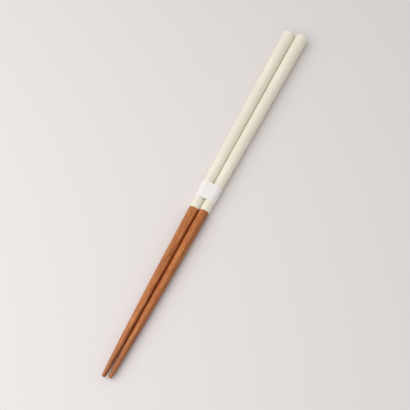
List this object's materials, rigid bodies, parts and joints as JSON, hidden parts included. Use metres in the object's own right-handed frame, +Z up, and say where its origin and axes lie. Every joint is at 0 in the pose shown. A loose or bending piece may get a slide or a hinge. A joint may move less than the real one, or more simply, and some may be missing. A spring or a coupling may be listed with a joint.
{
  "type": "pair of cooking chopsticks",
  "caption": "Long round tapered wooden cooking chopsticks with cream painted handles, lying side by side in a paper band.",
  "frame": {"origin": "on the table, under the middle of the pair's length and width", "axes": "+Y along the sticks towards the handle ends, +X across the pair to the right, +Z up from the table"},
  "size_m": [0.0204, 0.301, 0.0101],
  "materials": {
    "stick_wood": "fine straight-grained reddish brown wood, oiled to a satin",
    "handle_paint": "satin cream paint over the wood of the handle",
    "band_paper": "smooth uncoated white paper"
  },
  "bodies": {
    "root": {"left_chopstick": "stick_wood", "right_chopstick": "stick_wood", "paper_band": "band_paper"}
  },
  "joints": []
}
